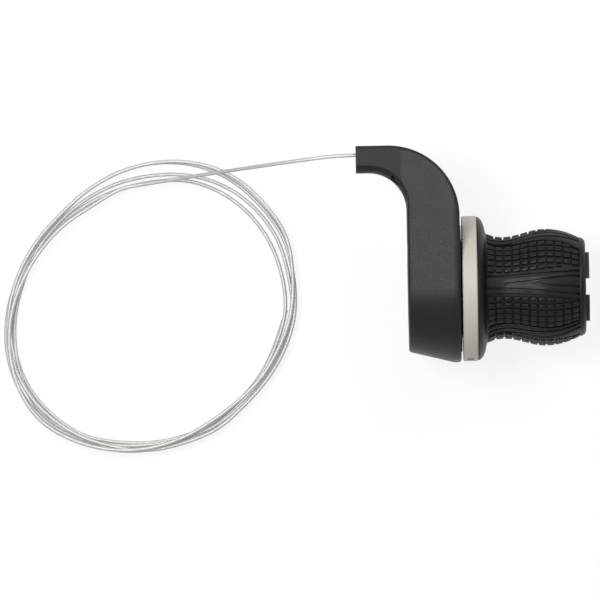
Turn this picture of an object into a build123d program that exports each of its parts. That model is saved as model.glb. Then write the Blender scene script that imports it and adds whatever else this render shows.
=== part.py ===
"""Twist grip shifter for a bicycle handlebar, in millimetres.

The bar runs along X through the origin, the grip points to +X and the elbow to +Y.
Angles round the bar are measured from +Y towards +Z.
"""

import math
import os

from build123d import *

# Fits
BAR_R = 11.1
CLAMP_FIT = 0.05
RUN_FIT = 0.08
SEAT_FIT = 0.05
BODY_GAP = 0.3
AXIAL_PLAY = 0.1

# Housing drum
LEFT_X = -4.5
RIGHT_X = 11.7
DRUM_R = 22.8
EDGE_R = 1.0
CAVITY_GAP = 2.6
LIP_T = 1.5
SHROUD_R = 19.6

# Elbow arm
ARM_FRONT_DROP = 3.7
ARM_BACK_Z = 9.8
ARM_FLAT_X = -5.5
ARM_BAND_X = 9.4
ARM_BAND_R = 6.0
ARM_ARC_Y = 22.65
ARM_ARC_R = 22.0
RIM_CENTRE = (-18.5, 25.0)
RIM_R = 14.9
ARM_SWEEP_R = 8.0
ARM_WALL = 2.0
ARM_BACK_X = -8.0
TUBE_R = 4.2
TUBE_BEND_CENTRE = (-16.4, 24.4)
TUBE_BEND_R = 15.9
TUBE_END_X = -20.1
TUBE_FOOT_Y = 14.0
SOCKET_R = 2.6
SOCKET_DEPTH = 7.0
SLOT_CENTRE = (-7.95, 33.9)
SLOT_LENGTH = 3.0
SLOT_WIDTH = 1.0

# Cable
CABLE_R = 0.6
WRAP_R = 15.3
CABLE_FIT = 0.02
SCREW_FIT = 0.02
CABLE_BEND_CENTRE = (-12.0, 23.85)
CHANNEL_R = 1.3
CONDUIT_R = 2.8
WRAP_ANGLE = 28.0
HEAD_R = 1.9
HEAD_LENGTH = 3.2

# Clamp and end plate
PLATE_T = 2.0
HUB_R = 12.7
HUB_END_X = 8.0
SHOULDER_R = 15.0
EAR_R = 2.9
EAR_PLACES = ((15.6, 13.2), (7.2, -19.3), (-7.2, -19.3))
BOSS_END_X = 3.1
BOSS_HALF_Y = 5.4
FOOT_TOP_Z = -14.0
FOOT_HALF_TOP = 12.0
FOOT_HALF_BOTTOM = 9.0
FOOT_END_X = 11.0
FOOT_EDGE_R = 1.5
SET_X = -0.7
SET_R = 2.0
SET_RECESS = 1.55
SET_KEY = 2.0
SET_KEY_DEPTH = 2.5
SHOE_R = 2.4
SHOE_T = 2.1
NUT_SIDE = 7.0
NUT_T = 2.2
NUT_DROP = 2.15
SCREW_R = 1.1
SCREW_HEAD_R = 2.2
SCREW_LENGTH = 7.4
SCREW_HEAD_T = 1.1
DRIVER_SLOT = 0.5
DRIVER_DEPTH = 0.6

# Spool on the grip core
WASHER_T = 0.5
FLANGE_R = 17.3
GROOVE_LEFT_X = 5.0
GROOVE_RIGHT_X = 6.9
GROOVE_TAPER = 0.2
NECK_R = 14.9
STEP_X = 8.3
CORE_BORE_R = 11.35
CORE_R = 13.2
KEY_COUNT = 3
KEY_WIDTH = 3.0
KEY_DEPTH = 1.0
SPLINE_COUNT = 4
SPLINE_WIDTH = 2.5
SPLINE_H = 0.7
SPLINE_START_X = 18.0
SPLINE_END_X = 47.0
CORE_END_X = 50.0
LUG_T = 1.6
LUG_GAP = 5.0
LUG_SIDE_GAP = 15.6
CLICKS = 6
CLICK_ANGLE = 12.0
NOTCH_R = 1.3
NOTCH_CENTRE_R = 17.45
SPRING_ANGLE = 270.0
SPRING_T = 0.5
SPRING_START_X = 7.2
SPRING_WIDTH = 2.2
SPRING_NOSE_Z = -16.6
SPRING_KNEE = (2.2, -18.5)
SPRING_TIP = (8.2, -19.2)
SPRING_BEND_R = 0.7
SPRING_SIDE_GAP = 0.2
SPRING_TRAVEL = 1.3

# Indicator ring
RING_STEP = 0.3
RING_GAP = 0.6
RING_T = 4.6
RING_RIM_T = 2.1
RING_HUB_T = 1.6
RING_WEB_T = 1.4
RING_EDGE = 0.3

# Rubber sleeve
SLEEVE_FLANGE_STEP = 0.2
SLEEVE_FLANGE_T = 3.0
SLEEVE_FLANGE_EDGE_R = 2.8
TREAD_START_X = 20.2
TREAD_START_R = 16.9
WAIST_X = 24.8
WAIST_R = 15.75
CREST_X = 38.0
CREST_R = 18.1
TREAD_END_X = 48.6
TREAD_END_R = 15.3
SLEEVE_END_X = 49.8
SLEEVE_END_R = 13.7
TREAD_DEPTH = 0.9
COLUMNS = 11
BLOCK_LENGTH = 2.05
REPEATS = 3
BAND_ANGLE = 24.0
PANEL_ANGLE = 36.0
FAN_START = 74.0
ROWS = 5
ROW_WIDTH = 1.45
ROW_ROOT = 0.3
GROOVE_WIDTH = 0.5
GROOVE_DEPTH = 0.6
FAN_LINES = ((25.9, 85.0, 76.5), (33.9, 85.5, 88.5), (20.5, 91.0, 95.5))
WAVE_LINES = ((20.5, 140.0, 140.0), (20.5, 146.0, 146.0), (20.5, 152.0, 152.0))

# Loose cable
COIL_CENTRE = (-84.7, -5.9)
COIL_LONG_R = 49.8
COIL_SHORT_R = 43.2
COIL_WIDTH = 6.0
COIL_TURN = 37.0
COIL_H = 7.0
RUN_END = (-93.4, 33.1)
RUN_DIP = 0.55
RUN_STEPS = (0.0, 0.085, 0.245, 0.41, 0.59, 0.755, 0.915, 1.0)
RUN_BOW = 0.3
BEND_SHARE = 0.45

# Places that follow from the sizes above
CAVITY_R = WRAP_R + CAVITY_GAP
ARM_FRONT_Z = DRUM_R - ARM_FRONT_DROP
LIP_X = RIGHT_X - LIP_T
SPOOL_END_X = LIP_X - WASHER_T - AXIAL_PLAY
HUB_BORE_R = BAR_R + CLAMP_FIT
PLATE_BACK_X = LEFT_X + PLATE_T
CABLE_X = (GROOVE_LEFT_X + GROOVE_RIGHT_X) / 2
CABLE_BEND_R = CABLE_X - CABLE_BEND_CENTRE[0]
CABLE_EXIT_Y = CABLE_BEND_CENTRE[1] + CABLE_BEND_R
SPOOL_START_X = BOSS_END_X + WASHER_T + AXIAL_PLAY
SPOOL_BORE_R = HUB_R + RUN_FIT
GROOVE_FLOOR_R = WRAP_R - CABLE_R - CABLE_FIT
LIP_R = NECK_R + BODY_GAP
TUBE_Y = TUBE_BEND_CENTRE[1] + TUBE_BEND_R
TUBE_SIDE_X = TUBE_BEND_CENTRE[0] + TUBE_BEND_R
FLOOR_Z = -DRUM_R
RING_R = DRUM_R - RING_STEP
RING_X = RIGHT_X + RING_GAP
SLEEVE_FLANGE_R = RING_R - SLEEVE_FLANGE_STEP
SLEEVE_X = RING_X + RING_T
RING_BORE_R = NECK_R + SEAT_FIT
SHOE_TOP_Z = -HUB_BORE_R
SHOE_END_Z = SHOE_TOP_Z - SHOE_T
NUT_TOP_Z = SHOE_END_Z - NUT_DROP
SET_LENGTH = SHOE_END_Z - FLOOR_Z - SET_RECESS
REPEAT_ANGLE = 360 / REPEATS
TREAD_PITCH = (TREAD_END_X - TREAD_START_X) / COLUMNS
SOCKET_X = TUBE_END_X + SOCKET_DEPTH
ARM_TOP_Y = ARM_ARC_Y + ARM_ARC_R
ARM_ARC_CENTRE = (RIGHT_X - ARM_ARC_R, ARM_ARC_Y)
FRONT_SLOPE = (DRUM_R - ARM_FRONT_Z) / (ARM_BAND_X - ARM_FLAT_X)
FACE_CORNER = (LEFT_X, ARM_FRONT_Z + FRONT_SLOPE * (LEFT_X - ARM_FLAT_X))
FLAT_BEND = ((ARM_FLAT_X, ARM_FRONT_Z), ARM_SWEEP_R)
BAND_BEND = ((ARM_BAND_X, DRUM_R), ARM_BAND_R)
SLOT_TURN = math.degrees(
    math.atan2(SLOT_CENTRE[1] - TUBE_BEND_CENTRE[1], SLOT_CENTRE[0] - TUBE_BEND_CENTRE[0])
) - 90
SPRING_LEDGE_Z = SPRING_TIP[1] - SPRING_T / 2
SPRING_SPAN = SPRING_TIP[0] - 2 * SPRING_BEND_R
SCREW_ALIGN = (Align.CENTER, Align.CENTER, Align.MIN)
LEAVE_ANGLE = 90.0
HEAD_ANGLE = math.radians(LEAVE_ANGLE + WRAP_ANGLE)
HEAD_PLANE = Plane(
    (CABLE_X, WRAP_R * math.cos(HEAD_ANGLE), WRAP_R * math.sin(HEAD_ANGLE)),
    x_dir=(1, 0, 0),
    z_dir=(0, -math.sin(HEAD_ANGLE), math.cos(HEAD_ANGLE)),
)


def land_r(x):
    """Radius of the grip's outer surface at x: waist, crest and fall to the end."""
    if x < WAIST_X:
        share = (WAIST_X - x) / (WAIST_X - TREAD_START_X)
        return WAIST_R + (TREAD_START_R - WAIST_R) * share**2
    if x < CREST_X:
        share = (x - WAIST_X) / (CREST_X - WAIST_X)
        return WAIST_R + (CREST_R - WAIST_R) * (1 - math.cos(math.pi * share)) / 2
    share = (x - CREST_X) / (TREAD_END_X - CREST_X)
    return CREST_R - (CREST_R - TREAD_END_R) * share**2


def tread_line(drop):
    """Points along the tread, drop below the outer surface."""
    places = [TREAD_START_X + TREAD_PITCH * k for k in range(COLUMNS + 1)]
    return [(x, land_r(x) - drop) for x in places]


def block_side(column):
    """Corners of one tread block, seen across its row."""
    middle = TREAD_START_X + TREAD_PITCH * (column + 0.5)
    left = middle - BLOCK_LENGTH / 2
    right = middle + BLOCK_LENGTH / 2
    root = TREAD_DEPTH + ROW_ROOT
    return (left, land_r(left)), (right, land_r(right)), (right, land_r(right) - root), (left, land_r(left) - root)


def groove_side(start_x):
    """Outline of a groove's cutter, seen from its side."""
    step = (TREAD_END_X - ROW_ROOT - start_x) / COLUMNS
    places = [start_x + step * k for k in range(COLUMNS + 1)]
    floor = [(x, land_r(x) - GROOVE_DEPTH) for x in places]
    return floor + [(x, land_r(x) + ROW_ROOT) for x in reversed(places)]


def groove_place(start_x, first, last):
    """Place of a groove that runs from one angle to another along the grip."""
    middle = (start_x + TREAD_END_X) / 2
    drift = land_r(middle) * math.radians(first - last)
    slant = math.degrees(math.atan2(drift, TREAD_END_X - start_x))
    slanted = Location((middle, 0, 0), (0, 0, slant)) * Location((-middle, 0, 0))
    return turned((first + last) / 2 - LEAVE_ANGLE) * slanted


def turned(angle):
    """Location turned about the bar."""
    return Location((0, 0, 0), (angle, 0, 0))


def run_points():
    """Points of the loose run: straight out of the elbow's mouth, then down to the coil."""
    start = Vector(TUBE_END_X, CABLE_EXIT_Y, WRAP_R)
    end = Vector(*RUN_END, FLOOR_Z + COIL_H - RUN_DIP)
    points = []
    for share in RUN_STEPS:
        bent = max(share - RUN_STEPS[1], 0) / (1 - RUN_STEPS[1])
        fall = (1 - math.cos(math.pi * bent)) / 2
        x = start.X + (end.X - start.X) * share
        y = start.Y + (end.Y - start.Y) * bent + RUN_BOW * math.sin(math.pi * bent)
        points.append(Vector(x, y, start.Z + (end.Z - start.Z) * fall))
    return points


def bend_radii(points):
    """Radius of each bend, from the shorter of its two runs."""
    radii = []
    for before, here, after in zip(points, points[1:], points[2:]):
        first = here - before
        second = after - here
        half_turn = math.radians(first.get_angle(second)) / 2
        radii.append(BEND_SHARE * min(first.length, second.length) / math.tan(half_turn))
    return radii


def rim_point(x):
    """Point of the flat front's inner rim at x."""
    return x, RIM_CENTRE[1] + math.sqrt(RIM_R**2 - (x - RIM_CENTRE[0]) ** 2)


def row_angles():
    """Angles of the tread rows, from the plane they are drawn in."""
    angles = []
    for repeat in range(REPEATS):
        for start in (FAN_START - PANEL_ANGLE, FAN_START + BAND_ANGLE):
            for row in range(ROWS):
                middle = start + PANEL_ANGLE * (row + 0.5) / ROWS
                angles.append(middle + repeat * REPEAT_ANGLE - LEAVE_ANGLE)
    return angles


def band_angles():
    """Angles where the raised bands between the panels begin."""
    starts = (FAN_START, FAN_START + BAND_ANGLE + PANEL_ANGLE)
    return [start + k * REPEAT_ANGLE - LEAVE_ANGLE for k in range(REPEATS) for start in starts]


# Drum: one profile turned about the bar, also the limit of the end plate's face
with BuildPart() as drum:
    with BuildSketch(Plane.XZ) as drum_profile:
        with BuildLine():
            Polyline(
                (LEFT_X, 0),
                FACE_CORNER,
                BAND_BEND[0],
                (RIGHT_X, DRUM_R),
                (RIGHT_X, 0),
                close=True,
            )
        make_face()
        for corner, radius in (BAND_BEND, (FACE_CORNER, EDGE_R), ((RIGHT_X, DRUM_R), EDGE_R)):
            fillet(drum_profile.vertices().sort_by_distance(corner)[0], radius)
    revolve(axis=Axis.X)

# Arm: the plan of the elbow, cut to the drum's own front line
with BuildPart() as arm:
    with BuildSketch(Plane.XY.offset(ARM_BACK_Z)):
        with BuildLine():
            outer_arc = CenterArc(ARM_ARC_CENTRE, ARM_ARC_R, 0, 90)
            Polyline(outer_arc @ 1, (TUBE_END_X, ARM_TOP_Y), rim_point(TUBE_END_X))
            RadiusArc(rim_point(TUBE_END_X), rim_point(LEFT_X), RIM_R)
            Polyline(
                rim_point(LEFT_X),
                (LEFT_X, 0),
                (RIGHT_X, 0),
                outer_arc @ 0,
            )
        make_face()
    extrude(amount=DRUM_R - ARM_BACK_Z)
    with BuildSketch(Plane.XZ) as front_profile:
        with BuildLine():
            Polyline(
                (TUBE_END_X, WRAP_R),
                (TUBE_END_X, ARM_FRONT_Z),
                FLAT_BEND[0],
                BAND_BEND[0],
                (RIGHT_X, DRUM_R),
                (RIGHT_X, ARM_BACK_Z),
                (ARM_BACK_X, ARM_BACK_Z),
                close=True,
            )
        make_face()
        for corner, radius in (FLAT_BEND, BAND_BEND):
            fillet(front_profile.vertices().sort_by_distance(corner)[0], radius)
    extrude(amount=-ARM_TOP_Y, mode=Mode.INTERSECT)
    outer_edge = arm.edges().sort_by_distance(outer_arc @ 0.5 + Vector(0, 0, DRUM_R))[0]
    fillet(outer_edge, EDGE_R)
    left_edge = arm.edges().filter_by(Axis.Y).sort_by_distance((LEFT_X, ARM_ARC_Y / 2, ARM_FRONT_Z))[0]
    fillet(left_edge, EDGE_R)

# Housing: drum and arm, hollowed, with the elbow's tube and the conduit for the cable
with BuildPart() as housing_shell:
    add(arm.part)
    with BuildSketch(Plane.XY.offset(ARM_BACK_Z)):
        with Locations(ARM_ARC_CENTRE):
            Circle(ARM_ARC_R - ARM_WALL)
            Rectangle(ARM_ARC_R, ARM_ARC_R, align=Align.MIN, mode=Mode.INTERSECT)
        with Locations((RIGHT_X - ARM_WALL, ARM_ARC_Y)):
            Rectangle(ARM_ARC_R - ARM_WALL, ARM_ARC_Y, align=Align.MAX)
    extrude(amount=ARM_FRONT_Z - ARM_BACK_Z - ARM_WALL, mode=Mode.SUBTRACT)
    add(drum.part)
    with BuildLine(Plane.XY.offset(WRAP_R)) as tube_path:
        Line((TUBE_END_X, TUBE_Y), (TUBE_BEND_CENTRE[0], TUBE_Y))
        CenterArc(TUBE_BEND_CENTRE, TUBE_BEND_R, 90, -90)
        Line((TUBE_SIDE_X, TUBE_BEND_CENTRE[1]), (TUBE_SIDE_X, TUBE_FOOT_Y))
    with BuildSketch(Plane((TUBE_END_X, TUBE_Y, WRAP_R), x_dir=(0, 1, 0), z_dir=(1, 0, 0))):
        Circle(TUBE_R)
        with Locations((0, ARM_FRONT_Z - WRAP_R)):
            tube_height = 2 * TUBE_R + ARM_FRONT_Z - WRAP_R
            Rectangle(2 * TUBE_R, tube_height, align=(Align.CENTER, Align.MAX), mode=Mode.INTERSECT)
    sweep(path=tube_path.line)
    with BuildLine(Plane.XY.offset(WRAP_R)) as cable_path:
        Line((CABLE_X, 0), (CABLE_X, CABLE_BEND_CENTRE[1]))
        CenterArc(CABLE_BEND_CENTRE, CABLE_BEND_R, 0, 90)
        Line((CABLE_BEND_CENTRE[0], CABLE_EXIT_Y), (SOCKET_X, CABLE_EXIT_Y))
    with BuildSketch(Plane((CABLE_X, 0, WRAP_R), z_dir=(0, 1, 0))):
        Circle(CONDUIT_R)
    sweep(path=cable_path.line)
    with BuildSketch(Plane.YZ.offset(LEFT_X)) as foot_profile:
        with BuildLine():
            Polyline(
                (-FOOT_HALF_TOP, FOOT_TOP_Z),
                (-FOOT_HALF_BOTTOM, FLOOR_Z),
                (FOOT_HALF_BOTTOM, FLOOR_Z),
                (FOOT_HALF_TOP, FOOT_TOP_Z),
                close=True,
            )
        make_face()
        fillet(foot_profile.vertices().group_by(Axis.Y)[0], FOOT_EDGE_R)
    extrude(amount=FOOT_END_X - LEFT_X)
    with BuildSketch(Plane.YZ.offset(LEFT_X)):
        Circle(CAVITY_R)
    extrude(amount=LIP_X - LEFT_X, mode=Mode.SUBTRACT)
    with BuildSketch(Plane.YZ.offset(LIP_X)):
        Circle(LIP_R)
    extrude(amount=LIP_T, mode=Mode.SUBTRACT)
    with BuildSketch(Plane.YZ.offset(RIGHT_X)):
        Circle(SHROUD_R)
        Circle(LIP_R, mode=Mode.SUBTRACT)
    extrude(amount=RING_GAP - BODY_GAP)
    with BuildSketch(Plane.YZ.offset(LEFT_X)):
        with Locations((0, FLOOR_Z)):
            Rectangle(2 * BOSS_HALF_Y, -FLOOR_Z, align=(Align.CENTER, Align.MIN))
        Circle(HUB_R + SEAT_FIT, mode=Mode.SUBTRACT)
    extrude(amount=BOSS_END_X - LEFT_X)
    with BuildSketch(Plane.YZ.offset(LEFT_X)):
        with Locations(*EAR_PLACES):
            Circle(EAR_R + SEAT_FIT)
    extrude(amount=PLATE_T, mode=Mode.SUBTRACT)
    with BuildSketch(Plane.YZ.offset(LEFT_X)):
        with Locations(*EAR_PLACES):
            Circle(SCREW_R + SCREW_FIT)
    extrude(amount=SCREW_LENGTH + SEAT_FIT, mode=Mode.SUBTRACT)
    with BuildSketch(Plane.XY.offset(FLOOR_Z)):
        with Locations((SET_X, 0)):
            Circle(SET_R + SEAT_FIT)
    extrude(amount=SHOE_END_Z - FLOOR_Z, mode=Mode.SUBTRACT)
    with BuildSketch(Plane.XY.offset(SHOE_END_Z)):
        with Locations((SET_X, 0)):
            Circle(SHOE_R + SEAT_FIT)
    extrude(amount=-SHOE_END_Z, mode=Mode.SUBTRACT)
    with BuildSketch(Plane.XY.offset(NUT_TOP_Z)):
        with Locations((SET_X + NUT_SIDE / 2, 0)):
            Rectangle(NUT_SIDE + PLATE_T, NUT_SIDE + 2 * SEAT_FIT, align=(Align.MAX, Align.CENTER))
    extrude(amount=-NUT_T, mode=Mode.SUBTRACT)
    with BuildSketch(Plane.YZ.offset(SPRING_START_X - SPRING_SIDE_GAP)):
        with Locations((0, SPRING_LEDGE_Z)):
            Rectangle(2 * (SPRING_TIP[0] + SPRING_T), -SPRING_LEDGE_Z, align=(Align.CENTER, Align.MIN))
            Rectangle(2 * SPRING_SPAN, SPRING_TRAVEL, align=(Align.CENTER, Align.MAX))
    extrude(amount=SPRING_WIDTH + 2 * SPRING_SIDE_GAP, mode=Mode.SUBTRACT)
    with BuildSketch(Plane((CABLE_X, 0, WRAP_R), z_dir=(0, 1, 0))):
        Circle(CHANNEL_R)
    sweep(path=cable_path.line, mode=Mode.SUBTRACT)
    with BuildSketch(Plane((TUBE_END_X, TUBE_Y, WRAP_R), z_dir=(1, 0, 0))):
        Circle(SOCKET_R)
    extrude(amount=SOCKET_DEPTH, mode=Mode.SUBTRACT)
    with BuildSketch(Plane.XY.offset(ARM_FRONT_Z)):
        with Locations(Location(SLOT_CENTRE, SLOT_TURN)):
            Rectangle(SLOT_LENGTH, SLOT_WIDTH)
    extrude(amount=WRAP_R - ARM_FRONT_Z, mode=Mode.SUBTRACT)

# End plate: cover disc and ears, with the hub that grips the bar
with BuildPart() as end_plate:
    with BuildSketch(Plane.YZ.offset(LEFT_X)):
        Circle(CAVITY_R - SEAT_FIT)
    extrude(amount=PLATE_T)
    add(drum.part, mode=Mode.INTERSECT)
    with BuildSketch(Plane.YZ.offset(LEFT_X)):
        with Locations(*EAR_PLACES):
            Circle(EAR_R)
    extrude(amount=PLATE_T)
    with BuildSketch(Plane.YZ.offset(PLATE_BACK_X)):
        Circle(SHOULDER_R)
    extrude(amount=BOSS_END_X - PLATE_BACK_X)
    with BuildSketch(Plane.YZ.offset(LEFT_X)):
        with Locations((0, -HUB_BORE_R)):
            Rectangle(2 * (BOSS_HALF_Y + SEAT_FIT), CAVITY_R, align=(Align.CENTER, Align.MAX))
    extrude(amount=BOSS_END_X - LEFT_X, mode=Mode.SUBTRACT)
    with BuildSketch(Plane.YZ.offset(LEFT_X)):
        Circle(HUB_R)
    extrude(amount=HUB_END_X - LEFT_X)
    with BuildSketch(Plane.YZ.offset(LEFT_X)):
        Circle(HUB_BORE_R)
    extrude(amount=HUB_END_X - LEFT_X, mode=Mode.SUBTRACT)
    with BuildSketch(Plane.XY.offset(-HUB_R)):
        with Locations((SET_X, 0)):
            Circle(SHOE_R + SEAT_FIT)
    extrude(amount=HUB_R, mode=Mode.SUBTRACT)
    with Locations(Plane.YZ.offset(LEFT_X)):
        with Locations(*EAR_PLACES):
            Cone(SCREW_HEAD_R, SCREW_R, SCREW_HEAD_T, align=SCREW_ALIGN, mode=Mode.SUBTRACT)
            Cylinder(SCREW_R + SCREW_FIT, PLATE_T, align=SCREW_ALIGN, mode=Mode.SUBTRACT)

# Cover screws: countersunk, with a driver slot
with BuildPart() as cover_screws:
    with Locations(Plane.YZ.offset(LEFT_X)):
        with Locations(*EAR_PLACES):
            Cone(SCREW_HEAD_R, SCREW_R, SCREW_HEAD_T, align=SCREW_ALIGN)
            Cylinder(SCREW_R, SCREW_LENGTH, align=SCREW_ALIGN)
            Box(DRIVER_SLOT, 2 * SCREW_HEAD_R, DRIVER_DEPTH, align=SCREW_ALIGN, mode=Mode.SUBTRACT)

# Clamp: set screw, square nut and pressure pad
with BuildPart() as clamp_screw:
    with BuildSketch(Plane.XY.offset(SHOE_END_Z)):
        with Locations((SET_X, 0)):
            Circle(SET_R)
    extrude(amount=-SET_LENGTH)
    with BuildSketch(Plane.XY.offset(SHOE_END_Z - SET_LENGTH)):
        with Locations((SET_X, 0)):
            RegularPolygon(SET_KEY / 2, 6, major_radius=False)
    extrude(amount=SET_KEY_DEPTH, mode=Mode.SUBTRACT)

with BuildPart() as clamp_nut:
    with BuildSketch(Plane.XY.offset(NUT_TOP_Z)):
        with Locations((SET_X, 0)):
            Rectangle(NUT_SIDE, NUT_SIDE)
            Circle(SET_R, mode=Mode.SUBTRACT)
    extrude(amount=-NUT_T)

with BuildPart() as clamp_shoe:
    with BuildSketch(Plane.XY.offset(SHOE_END_Z)):
        with Locations((SET_X, 0)):
            Circle(SHOE_R)
    extrude(amount=-SHOE_END_Z)
    with BuildSketch(Plane.YZ.offset(LEFT_X)):
        Circle(HUB_BORE_R)
    extrude(amount=HUB_END_X - LEFT_X, mode=Mode.SUBTRACT)

# Detent spring: bowed strip with a nose that drops into the spool's notches
with BuildPart() as detent_spring:
    with BuildSketch(Plane.YZ.offset(SPRING_START_X)):
        with BuildLine():
            FilletPolyline(
                (-SPRING_TIP[0], SPRING_TIP[1]),
                (-SPRING_KNEE[0], SPRING_KNEE[1]),
                (0, SPRING_NOSE_Z),
                SPRING_KNEE,
                SPRING_TIP,
                radius=SPRING_BEND_R,
            )
        trace(line_width=SPRING_T)
    extrude(amount=SPRING_WIDTH)

# Thrust washers either side of the spool
with BuildPart() as inner_washer:
    with BuildSketch(Plane.YZ.offset(BOSS_END_X)):
        Circle(FLANGE_R - SEAT_FIT)
        Circle(HUB_R + SEAT_FIT, mode=Mode.SUBTRACT)
    extrude(amount=WASHER_T)

with BuildPart() as outer_washer:
    with BuildSketch(Plane.YZ.offset(LIP_X)):
        Circle(FLANGE_R)
        Circle(LIP_R, mode=Mode.SUBTRACT)
    extrude(amount=-WASHER_T)

# Grip core: cable spool, neck for the ring and tube for the rubber, in one moulding
with BuildPart() as grip_core:
    with BuildSketch(Plane.XZ):
        with BuildLine():
            Polyline(
                (SPOOL_START_X, SPOOL_BORE_R),
                (SPOOL_START_X, FLANGE_R),
                (GROOVE_LEFT_X, FLANGE_R),
                (GROOVE_LEFT_X + GROOVE_TAPER, GROOVE_FLOOR_R),
                (GROOVE_RIGHT_X - GROOVE_TAPER, GROOVE_FLOOR_R),
                (GROOVE_RIGHT_X, FLANGE_R),
                (SPOOL_END_X, FLANGE_R),
                (SPOOL_END_X, NECK_R),
                (SLEEVE_X, NECK_R),
                (SLEEVE_X, CORE_R),
                (CORE_END_X, CORE_R),
                (CORE_END_X, CORE_BORE_R),
                (STEP_X, CORE_BORE_R),
                (STEP_X, SPOOL_BORE_R),
                close=True,
            )
        make_face()
    revolve(axis=Axis.X)
    with BuildSketch(Plane.YZ.offset(SPLINE_START_X)):
        with PolarLocations(CORE_R, SPLINE_COUNT):
            Rectangle(2 * SPLINE_H, SPLINE_WIDTH)
    extrude(amount=SPLINE_END_X - SPLINE_START_X)
    with BuildSketch(Plane.YZ.offset(CORE_END_X)):
        Circle(CORE_R)
        Circle(CORE_BORE_R, mode=Mode.SUBTRACT)
        Rectangle(LUG_GAP, 3 * CORE_R, mode=Mode.SUBTRACT)
        Rectangle(3 * CORE_R, LUG_SIDE_GAP, mode=Mode.SUBTRACT)
    extrude(amount=LUG_T)
    with BuildSketch(Plane.YZ.offset(RING_X)):
        with PolarLocations(NECK_R, KEY_COUNT):
            Rectangle(2 * KEY_DEPTH, KEY_WIDTH)
    extrude(amount=RING_T, mode=Mode.SUBTRACT)
    with BuildSketch(Plane.YZ.offset(GROOVE_RIGHT_X)):
        with PolarLocations(NOTCH_CENTRE_R, CLICKS + 1, SPRING_ANGLE, -CLICKS * CLICK_ANGLE, endpoint=True):
            Circle(NOTCH_R)
    extrude(amount=SPOOL_END_X - GROOVE_RIGHT_X, mode=Mode.SUBTRACT)
    with BuildSketch(HEAD_PLANE):
        Rectangle(
            2 * (HEAD_R + SEAT_FIT),
            FLANGE_R,
            align=(Align.CENTER, Align.MIN),
        )
        Rectangle(2 * (HEAD_R + SEAT_FIT), HEAD_R + SEAT_FIT, align=(Align.CENTER, Align.MAX))
    extrude(amount=HEAD_LENGTH + SEAT_FIT, mode=Mode.SUBTRACT)

# Indicator ring: rim, web and a keyed hub
with BuildPart() as indicator_ring:
    with BuildSketch(Plane.XZ) as ring_profile:
        with Locations((RING_X, RING_R)):
            Rectangle(RING_T, RING_RIM_T, align=(Align.MIN, Align.MAX))
        chamfer(ring_profile.vertices().group_by(Axis.Y)[-1], RING_EDGE)
        with Locations((RING_X + RING_T / 2, RING_BORE_R)):
            Rectangle(RING_WEB_T, RING_R - RING_RIM_T - RING_BORE_R, align=(Align.CENTER, Align.MIN))
            Rectangle(RING_T, RING_HUB_T, align=(Align.CENTER, Align.MIN))
    revolve(axis=Axis.X)
    with BuildSketch(Plane.YZ.offset(RING_X)):
        with PolarLocations(RING_BORE_R, KEY_COUNT):
            Rectangle(2 * (KEY_DEPTH - SEAT_FIT), KEY_WIDTH - 2 * SEAT_FIT)
        Circle(RING_BORE_R + RING_HUB_T / 2, mode=Mode.INTERSECT)
    extrude(amount=RING_T)

# Rubber sleeve: turned body, raised bands with their grooves and the blocks of the tread panels
with BuildPart() as tread_row:
    with BuildSketch(Plane.XZ):
        for column in range(COLUMNS):
            with BuildLine():
                Polyline(*block_side(column), close=True)
            make_face()
    extrude(amount=ROW_WIDTH / 2, both=True)

with BuildPart() as tread_band:
    with BuildSketch(Plane.XZ):
        with BuildLine():
            Polyline(*tread_line(0), *reversed(tread_line(TREAD_DEPTH + ROW_ROOT)), close=True)
        make_face()
    revolve(axis=Axis.X, revolution_arc=BAND_ANGLE)

grooves = []
for line in FAN_LINES + WAVE_LINES:
    with BuildPart() as groove:
        with BuildSketch(Plane.XZ):
            with BuildLine():
                Polyline(*groove_side(line[0]), close=True)
            make_face()
        extrude(amount=GROOVE_WIDTH / 2, both=True)
    grooves.append((groove.part, groove_place(*line)))

with BuildPart() as rubber_sleeve:
    with BuildSketch(Plane.XZ) as sleeve_profile:
        with BuildLine():
            Polyline(
                (SLEEVE_X, CORE_R),
                (SLEEVE_X, SLEEVE_FLANGE_R),
                (SLEEVE_X + SLEEVE_FLANGE_T, SLEEVE_FLANGE_R),
                (TREAD_START_X, TREAD_START_R),
                *tread_line(TREAD_DEPTH),
                (TREAD_END_X, TREAD_END_R),
                (SLEEVE_END_X, SLEEVE_END_R),
                (SLEEVE_END_X, CORE_R),
                close=True,
            )
        make_face()
        corner = sleeve_profile.vertices().group_by(Axis.Y)[-1].sort_by(Axis.X)[-1]
        fillet(corner, SLEEVE_FLANGE_EDGE_R)
    revolve(axis=Axis.X)
    with Locations(*[turned(angle) for angle in row_angles()]):
        add(tread_row.part)
    with Locations(*[turned(angle) for angle in band_angles()]):
        add(tread_band.part)
    for cutter, place in grooves:
        with Locations(*[turned(k * REPEAT_ANGLE) * place for k in range(REPEATS)]):
            add(cutter, mode=Mode.SUBTRACT)
    with BuildSketch(Plane.YZ.offset(SPLINE_START_X)):
        with PolarLocations(CORE_R, SPLINE_COUNT):
            Rectangle(2 * SPLINE_H, SPLINE_WIDTH)
    extrude(amount=SPLINE_END_X - SPLINE_START_X, mode=Mode.SUBTRACT)

# Cable inside: nipple, the stretch on the spool and the stretch through the elbow
with BuildPart() as cable_head:
    with BuildSketch(HEAD_PLANE):
        Circle(HEAD_R)
    extrude(amount=HEAD_LENGTH)

with BuildPart() as cable_wrap:
    with BuildLine(Plane.YZ.offset(CABLE_X)) as wrap_path:
        CenterArc((0, 0), WRAP_R, LEAVE_ANGLE, WRAP_ANGLE)
    with BuildSketch(Plane((CABLE_X, 0, WRAP_R), z_dir=(0, -1, 0))):
        Circle(CABLE_R)
    sweep(path=wrap_path.line)

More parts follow.
